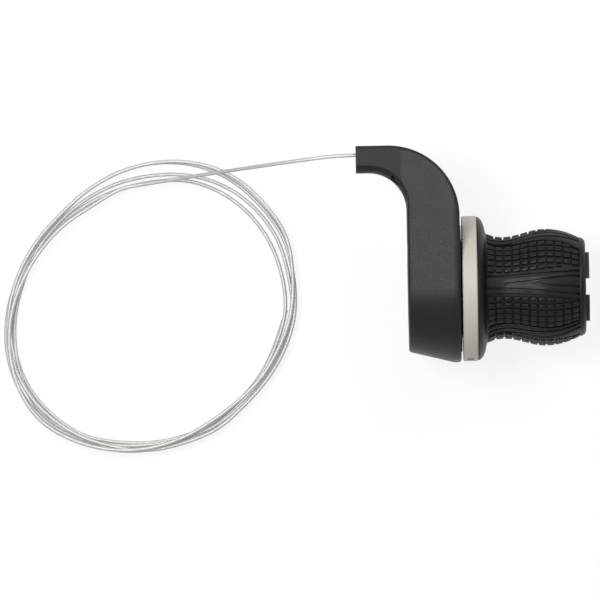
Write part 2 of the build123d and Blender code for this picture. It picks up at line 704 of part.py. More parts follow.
with BuildPart() as cable_in_elbow:
    with BuildLine(Plane.XY.offset(WRAP_R)) as elbow_path:
        Line((CABLE_X, 0), (CABLE_X, CABLE_BEND_CENTRE[1]))
        CenterArc(CABLE_BEND_CENTRE, CABLE_BEND_R, 0, 90)
        Line((CABLE_BEND_CENTRE[0], CABLE_EXIT_Y), (TUBE_END_X, CABLE_EXIT_Y))
    with BuildSketch(Plane((CABLE_X, 0, WRAP_R), z_dir=(0, 1, 0))):
        Circle(CABLE_R)
    sweep(path=elbow_path.line)

# Cable outside: the run down from the elbow and the shape of its coil
RUN_POINTS = run_points()
RUN_RADII = bend_radii(RUN_POINTS)
with BuildPart() as cable_run:
    with BuildLine() as run_path:
        FilletPolyline(*RUN_POINTS, radius=RUN_RADII)
    with BuildSketch(Plane(RUN_POINTS[0], z_dir=RUN_POINTS[1] - RUN_POINTS[0])):
        Circle(CABLE_R)
    sweep(path=run_path.line)

with BuildPart() as cable_coil:
    with BuildSketch(Plane.XY.offset(FLOOR_Z)):
        with Locations(Location(COIL_CENTRE, COIL_TURN)):
            Ellipse(COIL_LONG_R, COIL_SHORT_R)
            Ellipse(COIL_LONG_R - COIL_WIDTH, COIL_SHORT_R - COIL_WIDTH, mode=Mode.SUBTRACT)
    extrude(amount=COIL_H)

PIECES = {
    "housing_shell": housing_shell,
    "end_plate": end_plate,
    "cover_screws": cover_screws,
    "clamp_screw": clamp_screw,
    "clamp_nut": clamp_nut,
    "clamp_shoe": clamp_shoe,
    "detent_spring": detent_spring,
    "inner_washer": inner_washer,
    "outer_washer": outer_washer,
    "grip_core": grip_core,
    "indicator_ring": indicator_ring,
    "rubber_sleeve": rubber_sleeve,
    "cable_head": cable_head,
    "cable_wrap": cable_wrap,
    "cable_in_elbow": cable_in_elbow,
    "cable_run": cable_run,
    "cable_coil": cable_coil,
}
os.makedirs("parts", exist_ok=True)
for label, piece in PIECES.items():
    piece.part.label = label
    export_step(piece.part, f"parts/{label}.step")
print("run bends", [round(radius, 1) for radius in RUN_RADII])
run_length = run_path.wires()[0].length
section = math.pi * CABLE_R**2
print("run length", round(run_length, 1), "filled", round(cable_run.part.volume / (section * run_length), 4))
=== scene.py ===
"""Twist grip shifter with its loose inner cable: looks, stage and camera.

Lengths are in metres, or in millimetres where a name ends in MM or a comment says so.
Angles are in degrees. The bar runs along X, the elbow points to +Y and the camera looks
down from +Z. Angles round the bar go from +Y towards +Z.
"""

import math

import bpy
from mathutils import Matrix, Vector


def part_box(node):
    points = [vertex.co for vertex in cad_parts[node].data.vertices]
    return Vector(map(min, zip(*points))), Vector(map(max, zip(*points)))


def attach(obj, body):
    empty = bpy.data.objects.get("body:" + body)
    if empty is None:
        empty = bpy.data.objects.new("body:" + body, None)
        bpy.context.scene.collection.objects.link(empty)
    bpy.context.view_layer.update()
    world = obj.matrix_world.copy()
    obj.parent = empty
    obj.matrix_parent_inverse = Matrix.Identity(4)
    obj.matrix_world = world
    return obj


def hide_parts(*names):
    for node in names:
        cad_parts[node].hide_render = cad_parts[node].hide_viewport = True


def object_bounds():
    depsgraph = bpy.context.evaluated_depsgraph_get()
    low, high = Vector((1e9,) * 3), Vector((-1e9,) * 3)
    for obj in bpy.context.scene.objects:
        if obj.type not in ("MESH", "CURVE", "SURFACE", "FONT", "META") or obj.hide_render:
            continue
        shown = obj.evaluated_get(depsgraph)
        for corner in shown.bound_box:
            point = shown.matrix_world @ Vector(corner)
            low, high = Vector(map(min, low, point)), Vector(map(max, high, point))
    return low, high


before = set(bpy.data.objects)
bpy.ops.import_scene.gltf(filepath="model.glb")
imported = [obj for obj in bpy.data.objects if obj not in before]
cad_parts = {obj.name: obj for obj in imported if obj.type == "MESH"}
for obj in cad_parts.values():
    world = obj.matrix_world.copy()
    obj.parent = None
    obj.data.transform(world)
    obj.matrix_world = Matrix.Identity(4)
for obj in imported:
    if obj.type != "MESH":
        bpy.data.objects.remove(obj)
CAD_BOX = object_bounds()

bl_info = {
    "name": "Twist grip shifter",
    "version": (1, 0, 0),
    "blender": (4, 5, 0),
    "location": "3D View > Sidebar > Shifter",
    "description": "Dresses the packed twist grip shifter and sets its stage",
    "category": "Object",
}

MM = 0.001
FLOOR_Z = CAD_BOX[0][2]

# Camera: turn of the picture against the bar, the point it looks at and how far it sees
PICTURE_ROLL = 1.0
CAMERA_AIM = Vector((-0.038064, -0.002639, 0.0))
CAMERA_REACH = 20.0
# Softboxes: the point they face, then size, direction and distance of each
LIGHT_AIM = Vector((0.01, 0.0, 0.0))
KEY_SOFTBOX = ((0.26, 0.26), (-0.36, 0.17, 1.0), 0.8)
FILL_SOFTBOX = ((1.0, 1.0), (0.5, 0.85, 1.0), 1.7)
# Floor: half its width, its two greys, and the glow it has where it is seen
FLOOR_HALF = 3.0
FLOOR_DARK = (0.87, 0.87, 0.87, 1.0)
FLOOR_LIGHT = (0.89, 0.89, 0.89, 1.0)
FLOOR_GLOW = 1.03
FLOOR_GLOW_SHARE = 0.84

# Route of the loose cable: out of the elbow and down to the coil
RUN_POINTS = (
    (-0.02010, 0.04180, 0.01530),
    (-0.02633, 0.04180, 0.01530),
    (-0.03806, 0.04044, 0.01297),
    (-0.05015, 0.03898, 0.00643),
    (-0.06335, 0.03729, -0.00309),
    (-0.07544, 0.03565, -0.01107),
    (-0.08717, 0.03399, -0.01568),
    (-0.09340, 0.03310, -0.01635),
)
# Coil: its middle, the heights at which the wire comes in and ends, the angles of both,
# and the points of the route in one turn
COIL_CENTRE = (-0.08446, -0.00584)
COIL_TOP_Z = -0.01635
COIL_FOOT_Z = FLOOR_Z + 0.0006
COIL_START = 104.0
COIL_END = 1801.0
COIL_STEPS = 24
# From the middle to the innermost and the outermost wire, every 15 degrees of the
# picture, counted in units
COIL_UNIT = 0.3112 * MM
COIL_INNER = (
    132.8, 135.7, 138.3, 140.0, 140.0, 137.8, 130.2, 124.2, 121.0, 123.0, 125.0, 128.5,
    135.2, 139.2, 143.2, 142.5, 141.0, 133.8, 129.5, 125.8, 122.0, 122.2, 125.2, 127.0,
)
COIL_OUTER = (
    143.8, 148.0, 156.0, 156.5, 159.0, 155.8, 149.5, 142.8, 136.5, 133.2, 135.8, 138.8,
    143.2, 149.2, 153.5, 155.2, 148.8, 144.0, 139.0, 133.8, 133.5, 130.2, 133.0, 138.0,
)
# Place of the wire between the two, from 0 to 1, at angles along its turns
COIL_SHARES = (
    (104, 0.1), (120, 0.0), (150, 0.12), (180, 0.5), (210, 0.9), (240, 0.95), (270, 0.55),
    (300, 0.1), (330, 0.3), (360, 0.65), (390, 1.0), (435, 1.0), (480, 1.0), (510, 0.9),
    (540, 0.85), (570, 0.4), (600, 0.15), (630, 0.8), (660, 1.0), (720, 1.0), (750, 0.8),
    (780, 0.8), (795, 0.9), (810, 1.0), (840, 1.0), (870, 0.75), (900, 1.0), (930, 0.9),
    (960, 0.5), (990, 0.2), (1020, 0.7), (1050, 0.75), (1080, 0.8), (1095, 0.5),
    (1125, 0.44), (1155, 0.26), (1170, 0.34), (1200, 0.6), (1230, 0.45), (1260, 0.0),
    (1290, 0.3), (1320, 0.75), (1350, 0.75), (1380, 0.35), (1410, 0.1), (1440, 0.15),
    (1455, 0.0), (1530, 0.0), (1560, 0.3), (1590, 0.4), (1620, 0.35), (1650, 0.0),
    (1710, 0.0), (1740, 0.35), (1770, 0.05), (1801, 0.08),
)
# Wire: points of its line from one point of the route to the next, and its radius over
# one strand as shares of the whole
LINE_RESOLUTION = 12
STRAND_LOBES = (0.94, 1.0, 1.0)

# Click marks on the housing's edge: middle of their arc and its reach to either side,
# step and half width, band along the bar and least distance from its axis
CLICK_MIDDLE = 203.0
CLICK_REACH = 37.0
CLICK_STEP = 12.0
CLICK_HALF = 0.6
CLICK_BAND = (0.0094, 0.0107)
CLICK_RADIUS = 0.0222
CLICK_COLOUR = (0.42, 0.41, 0.39, 1.0)
# Pointer bar on the ring: its place round the bar, half width, band along the bar and
# least distance from its axis
POINTER_ANGLE = 167.0
POINTER_HALF = 0.0013
POINTER_BAND = (0.0135, 0.0157)
POINTER_RADIUS = 0.02
POINTER_COLOUR = (0.03, 0.03, 0.03, 1.0)

# Grip's outer line as place along the bar and radius: neck, waist, crest and end
NECK_MM = (19.8, 17.0)
WAIST_MM = (24.8, 15.75)
CREST_MM = (38.0, 18.1)
END_MM = (48.6, 15.3)
# Sleeve's body: its bore, points round it, and its edges as steps along the bar and in
# radius, at the rim by the ring and at the neck
SLEEVE_BORE_MM = 13.2
SLEEVE_AROUND = 180
RIM_EDGE_MM = ((0.0, -0.35), (0.1, -0.1), (0.35, 0.0))
NECK_EDGE_MM = ((0.0, 0.05), (0.25, -0.25))
# Flange's rounded side: fall from its rim and distance from the ring, in millimetres
FLANGE_STEPS = 12
FLANGE_FALL = (
    (0.0, 0.35), (0.35, 0.75), (0.9, 1.3), (1.9, 1.9),
    (3.0, 2.3), (3.9, 2.5), (4.6, 2.65), (5.1, 2.8),
)
# Pocket's floor: its distance from neck and end, then foot and top of its end wall
POCKET_STEPS = 40
POCKET_INSET_MM = 0.25
WALL_FOOT_MM = 0.3
WALL_TOP_MM = 0.12
# Rounded lip at the end: where it starts past the tread, and how far it falls
LIP_STEPS = 8
LIP_START_MM = 0.1
LIP_FALL_MM = 1.8

# Edges and grooves of the tread: place along the bar in millimetres, and angle
REPEATS = 3
POCKET_TOP = ((20.2, 32.3), (34.0, 35.1), (44.0, 37.1), (48.6, 41.6))
RAIL_TOP = ((20.2, 73.0), (29.7, 73.6), (42.9, 69.0), (48.6, 64.6))
FAN_FIRST = ((20.2, 77.7), (29.7, 76.9), (42.9, 74.8), (48.6, 71.4))
FAN_SECOND = ((20.2, 87.7), (25.8, 85.9), (37.8, 82.1), (48.6, 77.6))
FAN_THIRD = ((20.2, 88.3), (26.0, 86.8), (33.8, 86.3), (40.3, 88.4), (48.6, 90.2))
FAN_FOURTH = ((20.2, 90.6), (32.6, 93.0), (40.3, 94.9), (48.6, 98.5))
FAN_LAST = ((20.2, 97.8), (32.6, 98.0), (40.3, 99.8), (48.6, 105.1))
POCKET_FOOT = ((20.2, 137.8), (26.7, 134.5), (34.9, 133.5), (40.3, 134.2), (48.6, 132.1))
WAVE_FIRST = ((20.2, 145.3), (26.2, 143.1), (34.9, 140.9), (40.3, 139.8), (48.6, 137.5))
WAVE_SECOND = ((20.2, 151.3), (26.2, 150.3), (34.9, 148.5), (40.3, 148.1), (48.6, 144.1))
WAVE_LAST = tuple((x, angle + 360 / REPEATS) for x, angle in POCKET_TOP)
# Foot of the last pocket, which ends early, and the groove beside it
FADING_FOOT = (
    (20.2, 137.8), (26.7, 134.5), (34.9, 131.5), (40.3, 122.5), (44.0, 114.0), (48.6, 105.5),
)
FADING_LINE = (
    (20.2, 141.5), (26.7, 139.0), (34.9, 136.4), (40.3, 131.8), (44.0, 127.4), (48.6, 122.5),
)
# Lands of the tread: the grooves at both sides, and the places from which they are open
ALL_ALONG_MM = NECK_MM[0] - 10
SECOND_OPENS_MM = 24.8
THIRD_OPENS_MM = 33.2
FADING_OPENS_MM = 33.0
FAN_LANDS = (
    (RAIL_TOP, FAN_FIRST, ALL_ALONG_MM, ALL_ALONG_MM),
    (FAN_FIRST, FAN_SECOND, ALL_ALONG_MM, SECOND_OPENS_MM),
    (FAN_SECOND, FAN_THIRD, SECOND_OPENS_MM, THIRD_OPENS_MM),
    (FAN_THIRD, FAN_FOURTH, THIRD_OPENS_MM, ALL_ALONG_MM),
    (FAN_FOURTH, FAN_LAST, ALL_ALONG_MM, ALL_ALONG_MM),
)
WAVE_LANDS = (
    (POCKET_FOOT, WAVE_FIRST, ALL_ALONG_MM, ALL_ALONG_MM),
    (WAVE_FIRST, WAVE_SECOND, ALL_ALONG_MM, ALL_ALONG_MM),
    (WAVE_SECOND, WAVE_LAST, ALL_ALONG_MM, ALL_ALONG_MM),
)
FADING_LANDS = (
    (FADING_FOOT, FADING_LINE, ALL_ALONG_MM, FADING_OPENS_MM),
    (FADING_LINE, WAVE_FIRST, FADING_OPENS_MM, ALL_ALONG_MM),
    *WAVE_LANDS[1:],
)
# Section of a land: depth of its root, its rounded edge as share of the rounding and drop
# in millimetres, and the points across its top as shares of its width
ROOT_MM = 1.1
LAND_EDGE = ((0.0, 0.22), (0.3, 0.06), (1.0, 0.0))
LAND_TOP = (0.3, 0.5, 0.7)
# Length of a land: its steps, how far it runs past neck and end, and the length over
# which a groove opens
LAND_STEPS = 64
LAND_PAST_MM = 0.1
OPENING_MM = 2.5
# Blocks: angles of their rows, inset and drop of their edge, distance from a pocket's
# edge and the least angle that is left of a block there
UPPER_ROWS = (39.7, 47.1, 54.3, 61.7, 69.2)
LOWER_ROWS = (103.0, 110.4, 117.3, 124.0, 130.7)
BLOCK_EDGE_MM = ((-0.06, ROOT_MM), (0.0, 0.22), (0.05, 0.07), (0.15, 0.0))
BLOCK_GAP_MM = 0.3
BLOCK_LEAST = 1.6
# A block's corners: the way to each, points round it, the share of the block's half width
# that it may take and its least radius
CORNERS = ((1, 1), (-1, 1), (-1, -1), (1, -1))
CORNER_POINTS = 3
CORNER_SHARE = 0.9
CORNER_LEAST_MM = 0.02


def between(table, place):
    """Smooth value of a table of (place, value) pairs at a place."""
    places = [row[0] for row in table]
    values = [row[1] for row in table]
    if place <= places[0]:
        return values[0]
    if place >= places[-1]:
        return values[-1]
    k = max(i for i in range(len(places) - 1) if places[i] <= place)
    span = places[k + 1] - places[k]
    share = (place - places[k]) / span
    slopes = []
    for i in (k, k + 1):
        low, high = max(i - 1, 0), min(i + 1, len(places) - 1)
        slopes.append((values[high] - values[low]) / (places[high] - places[low]) * span)
    start, end = slopes
    rise = values[k + 1] - values[k]
    square, cube = 3 * rise - 2 * start - end, start + end - 2 * rise
    return values[k] + share * (start + share * (square + share * cube))


def all_round(values):
    """Table of values at equal angles, run on a little past both ends of the turn."""
    count = len(values)
    return [(360 // count * k, values[k % count]) for k in range(-2, count + 3)]


def eased(share):
    """Share from 0 to 1 with level ends."""
    share = min(max(share, 0.0), 1.0)
    return share * share * (3 - 2 * share)


def grip_radius(x_mm):
    """Radius of the grip's outer line in millimetres."""
    if x_mm < WAIST_MM[0]:
        share = (WAIST_MM[0] - x_mm) / (WAIST_MM[0] - NECK_MM[0])
        return WAIST_MM[1] + (NECK_MM[1] - WAIST_MM[1]) * share**2
    if x_mm < CREST_MM[0]:
        share = (x_mm - WAIST_MM[0]) / (CREST_MM[0] - WAIST_MM[0])
        return WAIST_MM[1] + (CREST_MM[1] - WAIST_MM[1]) * (1 - math.cos(math.pi * share)) / 2
    share = (x_mm - CREST_MM[0]) / (END_MM[0] - CREST_MM[0])
    return CREST_MM[1] - (CREST_MM[1] - END_MM[1]) * share**2


def angle_of_mm(x_mm):
    """Angle that one millimetre takes up round the grip."""
    return 180 / math.pi / grip_radius(x_mm)


def round_bar(x_mm, radius_mm, degrees):
    """Point at a place along the bar, a radius and an angle, in metres."""
    turn = math.radians(degrees)
    return x_mm * MM, radius_mm * math.cos(turn) * MM, radius_mm * math.sin(turn) * MM


# Shader expressions
class Shade:
    """A shader value: arithmetic on it adds Math nodes to its finish."""

    def __init__(self, finish, socket):
        self.finish = finish
        self.socket = socket

    def __add__(self, other):
        return self.finish.maths("ADD", self, other)

    def __radd__(self, other):
        return self.finish.maths("ADD", other, self)

    def __sub__(self, other):
        return self.finish.maths("SUBTRACT", self, other)

    def __rsub__(self, other):
        return self.finish.maths("SUBTRACT", other, self)

    def __mul__(self, other):
        return self.finish.maths("MULTIPLY", self, other)

    def __rmul__(self, other):
        return self.finish.maths("MULTIPLY", other, self)

    def __lt__(self, other):
        return self.finish.maths("LESS_THAN", self, other)

    def __gt__(self, other):
        return self.finish.maths("GREATER_THAN", self, other)

    def __abs__(self):
        return self.finish.maths("ABSOLUTE", self)


class Finish:
    """The nodes of one material, or of the world."""

    def __init__(self, holder):
        self.holder = holder
        holder.use_nodes = True
        self.nodes = holder.node_tree.nodes
        self.links = holder.node_tree.links
        self.nodes.clear()

    def node(self, kind, settings, sockets, out=0):
        """Adds a node: its settings first, then the values or links of its sockets."""
        made = self.nodes.new(kind)
        for key, value in settings.items():
            setattr(made, key, value)
        for key, value in sockets.items():
            if isinstance(value, Shade):
                self.links.new(value.socket, made.inputs[key])
            else:
                made.inputs[key].default_value = value
        return Shade(self, made.outputs[out]) if made.outputs else None

    def maths(self, operation, first, second=0.0):
        """One Math node."""
        return self.node("ShaderNodeMath", {"operation": operation}, {0: first, 1: second})

    def place(self):
        """Coordinates in the part's own frame, which ride with the piece."""
        return self.node("ShaderNodeTexCoord", {}, {}, "Object")

    def stretched(self, place, scale):
        """Coordinates stretched along the axes."""
        return self.node("ShaderNodeMapping", {}, {"Vector": place, "Scale": scale})

    def axes(self, place):
        """The three coordinates of a place."""
        split = self.node("ShaderNodeSeparateXYZ", {}, {0: place})
        return [Shade(self, socket) for socket in split.socket.node.outputs]

    def noise(self, place, scale, detail=2.0, rough=0.5):
        """Cloudy value from 0 to 1."""
        sockets = {"Vector": place, "Scale": scale, "Detail": detail, "Roughness": rough}
        return self.node("ShaderNodeTexNoise", {}, sockets, "Fac")

    def blend(self, share, first, second):
        """Colour between two colours."""
        settings = {"data_type": "RGBA"}
        return self.node("ShaderNodeMix", settings, {0: share, 6: first, 7: second}, 2)

    def mottled(self, share, colour, darkest, lightest):
        """Colour between a darker and a lighter tint of its own."""
        return self.blend(share, tinted(colour, darkest), tinted(colour, lightest))

    def bump(self, height, strength, depth, edge=None):
        """Normal from a height, over an edge that looks rounded where one is given."""
        sockets = {"Height": height, "Strength": strength, "Distance": depth}
        if edge:
            sockets["Normal"] = self.node("ShaderNodeBevel", {"samples": 4}, {"Radius": edge})
        return self.node("ShaderNodeBump", {}, sockets)

    def seen(self):
        """1 for rays that show a background: of the camera, a reflection or glass."""
        path = self.node("ShaderNodeLightPath", {}, {}).socket.node.outputs
        names = ("Is Camera Ray", "Is Glossy Ray", "Is Transmission Ray")
        camera, glossy, through = (Shade(self, path[name]) for name in names)
        return self.maths("MINIMUM", camera + glossy + through, 1.0)

    def surface(self, sockets):
        """Ends the finish in one Principled surface."""
        return self.close(self.node("ShaderNodeBsdfPrincipled", {}, sockets))

    def close(self, shader):
        """Joins a shader to the output and gives the finished material."""
        self.node("ShaderNodeOutputMaterial", {}, {"Surface": shader})
        return self.holder


def tinted(colour, factor):
    """A colour made lighter or darker, with full alpha."""
    return (*[min(channel * factor, 1.0) for channel in colour], 1.0)


def new_finish(name):
    """Empty finish of a new material, and the coordinates on its pieces."""
    finish = Finish(bpy.data.materials.new(name))
    return finish, finish.place()


def facing(y, z, degrees):
    """Coordinates along and across a direction round the bar."""
    cosine = math.cos(math.radians(degrees))
    sine = math.sin(math.radians(degrees))
    return y * cosine + z * sine, z * cosine - y * sine


def within(value, band):
    """1 where a shader value lies in a band."""
    return (value > band[0]) * (value < band[1])


# Sizes and colours
class CableSizes(bpy.types.PropertyGroup):
    """Sizes of the stranded wire."""

    diameter: bpy.props.FloatProperty(
        name="Diameter", description="Across the stranded wire",
        default=0.0012, unit="LENGTH",
    )
    strands: bpy.props.IntProperty(
        name="Strands", description="Wires in the outer layer",
        default=12, min=3,
    )
    pitch: bpy.props.FloatProperty(
        name="Pitch", description="Length in which a strand goes once round",
        default=0.011, unit="LENGTH",
    )
    length: bpy.props.FloatProperty(
        name="Length", description="Cable outside the elbow",
        default=1.36, unit="LENGTH",
    )


class TreadSizes(bpy.types.PropertyGroup):
    """Sizes of the rubber tread, in millimetres and degrees."""

    columns: bpy.props.IntProperty(
        name="Columns", description="Blocks along the grip",
        default=11, min=1,
    )
    block_length: bpy.props.FloatProperty(
        name="Block length", description="Along the grip, in millimetres",
        default=2.15,
    )
    block_angle: bpy.props.FloatProperty(
        name="Block angle", description="Round the grip, in degrees",
        default=5.6,
    )
    block_corner: bpy.props.FloatProperty(
        name="Block corner", description="Rounding of a block's corners, in millimetres",
        default=0.3,
    )
    depth: bpy.props.FloatProperty(
        name="Depth", description="From the outer line to the pocket's floor, in millimetres",
        default=0.75,
    )
    overhang: bpy.props.FloatProperty(
        name="Overhang", description="Soft end past the CAD sleeve's, in millimetres",
        default=0.7,
    )
    fan_groove: bpy.props.FloatProperty(
        name="Fan groove", description="Width of the fan's grooves, in millimetres",
        default=0.6,
    )
    wave_groove: bpy.props.FloatProperty(
        name="Wave groove", description="Width of the wave band's grooves, in millimetres",
        default=0.9,
    )


class PieceColours(bpy.types.PropertyGroup):
    """Base colours of the finishes."""

    housing: bpy.props.FloatVectorProperty(
        name="Housing", description="Dark plastic",
        default=(0.011, 0.011, 0.0107), subtype="COLOR",
    )
    cover: bpy.props.FloatVectorProperty(
        name="Cover", description="End plate and pad",
        default=(0.022, 0.022, 0.022), subtype="COLOR",
    )
    core: bpy.props.FloatVectorProperty(
        name="Core", description="Turning core",
        default=(0.015, 0.015, 0.015), subtype="COLOR",
    )
    ring: bpy.props.FloatVectorProperty(
        name="Ring", description="Pale indicator ring",
        default=(0.55, 0.515, 0.465), subtype="COLOR",
    )
    rubber: bpy.props.FloatVectorProperty(
        name="Rubber", description="Grip sleeve",
        default=(0.005, 0.005, 0.005), subtype="COLOR",
    )
    wire: bpy.props.FloatVectorProperty(
        name="Wire", description="Cable strands",
        default=(0.51, 0.51, 0.495), subtype="COLOR",
    )
    screws: bpy.props.FloatVectorProperty(
        name="Screws", description="Zinc plated steel",
        default=(0.5, 0.5, 0.5), subtype="COLOR",
    )
    spring: bpy.props.FloatVectorProperty(
        name="Spring", description="Bright spring steel",
        default=(0.42, 0.42, 0.43), subtype="COLOR",
    )
    washers: bpy.props.FloatVectorProperty(
        name="Washers", description="Natural nylon",
        default=(0.75, 0.75, 0.72), subtype="COLOR",
    )


class StageLevels(bpy.types.PropertyGroup):
    """Camera distance and levels of light."""

    camera_height: bpy.props.FloatProperty(
        name="Camera height", description="Above the bar's axis",
        default=6.0, unit="LENGTH",
    )
    frame_width: bpy.props.FloatProperty(
        name="Frame width", description="Width that the picture shows at the bar",
        default=0.186, unit="LENGTH",
    )
    key: bpy.props.FloatProperty(
        name="Key", description="Power of the main softbox",
        default=4.3, unit="POWER",
    )
    fill: bpy.props.FloatProperty(
        name="Fill", description="Power of the second softbox",
        default=8.5, unit="POWER",
    )
    sky: bpy.props.FloatProperty(
        name="Sky", description="Level of the light from all round",
        default=0.3,
    )


# Finishes
def housing_finish(colour):
    """Moulded plastic with a fine matt grain and plain click marks round its edge."""
    finish, place = new_finish("housing_plastic")
    x, y, z = finish.axes(place)
    grain = finish.noise(place, scale=5200.0, rough=0.6)
    cloud = finish.noise(place, scale=260.0, detail=3.0)
    along, across = facing(y, z, CLICK_MIDDLE)
    turn = finish.maths("ARCTAN2", across, along) * math.degrees(1)
    off_click = finish.maths("PINGPONG", turn, CLICK_STEP / 2)
    outside = along * along + across * across > CLICK_RADIUS**2
    on_arc = (off_click < CLICK_HALF) * (abs(turn) < CLICK_REACH)
    mark = on_arc * within(x, CLICK_BAND) * outside
    shade = finish.mottled(cloud, colour, darkest=0.85, lightest=1.2)
    return finish.surface({
        "Base Color": finish.blend(mark, shade, CLICK_COLOUR),
        "Roughness": 0.34 + cloud * 0.1,
        "Specular IOR Level": 0.22,
        "Normal": finish.bump(grain + cloud * 0.4, strength=0.8, depth=0.00006, edge=0.0006),
    })


def cover_finish(colour):
    """Black moulded plastic with fine turning marks."""
    finish, place = new_finish("cover_plastic")
    _, y, z = finish.axes(place)
    radius = finish.maths("SQRT", y * y + z * z)
    rings = finish.maths("SINE", radius * 9000.0)
    grain = finish.noise(place, scale=3800.0, rough=0.6)
    cloud = finish.noise(place, scale=320.0)
    return finish.surface({
        "Base Color": finish.mottled(cloud, colour, darkest=0.8, lightest=1.3),
        "Roughness": 0.42 + grain * 0.15,
        "Specular IOR Level": 0.25,
        "Normal": finish.bump(grain + rings * 0.12, strength=0.35, depth=0.00004, edge=0.0003),
    })


def core_finish(colour):
    """Satin black plastic, rubbed along the bar."""
    finish, place = new_finish("core_plastic")
    rub = finish.noise(finish.stretched(place, (0.12, 1.0, 1.0)), scale=2600.0, detail=3.0)
    return finish.surface({
        "Base Color": finish.mottled(rub, colour, darkest=0.8, lightest=1.5),
        "Roughness": 0.3 + rub * 0.2,
        "Specular IOR Level": 0.25,
        "Normal": finish.bump(rub, strength=0.25, depth=0.00003, edge=0.0003),
    })


def ring_finish(colour):
    """Pale satin plastic with one plain pointer bar."""
    finish, place = new_finish("ring_plastic")
    x, y, z = finish.axes(place)
    along, across = facing(y, z, POINTER_ANGLE)
    bar = (abs(across) < POINTER_HALF) * (along > POINTER_RADIUS) * within(x, POINTER_BAND)
    cloud = finish.noise(place, scale=180.0, detail=3.0)
    grain = finish.noise(place, scale=4200.0)
    shade = finish.mottled(cloud, colour, darkest=0.95, lightest=1.04)
    return finish.surface({
        "Base Color": finish.blend(bar, shade, POINTER_COLOUR),
        "Roughness": 0.38 + cloud * 0.12,
        "Normal": finish.bump(grain, strength=0.2, depth=0.00003, edge=0.0004),
    })


def rubber_finish(colour):
    """Near-black moulded rubber with a fine skin."""
    finish, place = new_finish("grip_rubber")
    skin = finish.noise(place, scale=6500.0, detail=3.0, rough=0.6)
    cloud = finish.noise(place, scale=420.0, detail=3.0)
    return finish.surface({
        "Base Color": finish.mottled(cloud, colour, darkest=0.75, lightest=1.5),
        "Roughness": 0.32 + cloud * 0.16 + skin * 0.06,
        "Specular IOR Level": 0.22,
        "Normal": finish.bump(skin, strength=0.35, depth=0.00004),
    })


def steel_finish(name, colour, rough, brushed):
    """Bright steel with a fine grain, stretched where it is brushed."""
    finish, place = new_finish(name)
    grain = finish.noise(finish.stretched(place, brushed), scale=5200.0, detail=3.0, rough=0.6)
    cloud = finish.noise(place, scale=520.0)
    return finish.surface({
        "Base Color": finish.mottled(cloud, colour, darkest=0.86, lightest=1.14),
        "Metallic": 1.0,
        "Roughness": rough + grain * 0.14,
        "Normal": finish.bump(grain, strength=0.2, depth=0.00002),
    })


def washer_finish(colour):
    """Natural nylon, slightly cloudy."""
    finish, place = new_finish("washer_plastic")
    cloud = finish.noise(place, scale=600.0, detail=3.0)
    return finish.surface({
        "Base Color": finish.mottled(cloud, colour, darkest=0.92, lightest=1.05),
        "Roughness": 0.35 + cloud * 0.15,
        "Normal": finish.bump(cloud, strength=0.15, depth=0.00003),
    })


def floor_finish():
    """White sweep that keeps the part's shadow."""
    finish, place = new_finish("floor_white")
    shade = finish.blend(finish.noise(place, scale=3.0), FLOOR_DARK, FLOOR_LIGHT)
    matt = finish.node("ShaderNodeBsdfDiffuse", {}, {"Color": shade})
    glow = finish.node("ShaderNodeEmission", {}, {"Strength": FLOOR_GLOW})
    lit = finish.node("ShaderNodeMixShader", {}, {0: FLOOR_GLOW_SHARE, 1: matt, 2: glow})
    mixed = finish.node("ShaderNodeMixShader", {}, {0: finish.seen(), 1: matt, 2: lit})
    return finish.close(mixed)


# Making pieces
def mesh_piece(name, points, faces, material, smooth_below):
    """Mesh object with smooth shading up to an angle between faces."""
    mesh = bpy.data.meshes.new(name)
    mesh.from_pydata(points, [], faces)
    mesh.validate()
    mesh.shade_smooth()
    mesh.set_sharp_from_angle(angle=math.radians(smooth_below))
    mesh.materials.append(material)
    piece = bpy.data.objects.new(name, mesh)
    bpy.context.scene.collection.objects.link(piece)
    return piece


def dress(material, *nodes):
    """Gives CAD nodes their finish."""
    for node in nodes:
        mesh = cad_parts[node].data
        mesh.materials.clear()
        mesh.materials.append(material)


class Shells:
    """Points and faces of a mesh made from rings."""

    def __init__(self):
        self.points = []
        self.faces = []

    def loft(self, rings, capped=True):
        """Skin over closed rings of equally many points."""
        base = len(self.points)
        count = len(rings[0])
        for ring in rings:
            self.points.extend(ring)
        last = base + (len(rings) - 1) * count
        for start in range(base, last, count):
            for i in range(count):
                a, b = start + i, start + (i + 1) % count
                self.faces.append((a, b, b + count, a + count))
        if capped:
            self.faces.append(tuple(base + i for i in reversed(range(count))))
            self.faces.append(tuple(last + i for i in range(count)))


# Stage
def softbox(name, watts, size, direction, distance):
    """Rectangular lamp that faces the part."""
    lamp = bpy.data.lights.new(name, "AREA")
    lamp.shape = "RECTANGLE"
    lamp.size, lamp.size_y = size
    lamp.energy = watts
    holder = bpy.data.objects.new(name, lamp)
    bpy.context.scene.collection.objects.link(holder)
    holder.location = LIGHT_AIM + Vector(direction).normalized() * distance
    holder.rotation_euler = (holder.location - LIGHT_AIM).to_track_quat("Z", "Y").to_euler()


def even_sky(level):
    """World of an even soft light, white where it is seen."""
    world = bpy.data.worlds.new("sky")
    finish = Finish(world)
    even = finish.node("ShaderNodeBackground", {}, {"Strength": level})
    white = finish.node("ShaderNodeBackground", {}, {"Strength": 1.0})
    mixed = finish.node("ShaderNodeMixShader", {}, {0: finish.seen(), 1: even, 2: white})
    finish.node("ShaderNodeOutputWorld", {}, {"Surface": mixed})
    return world


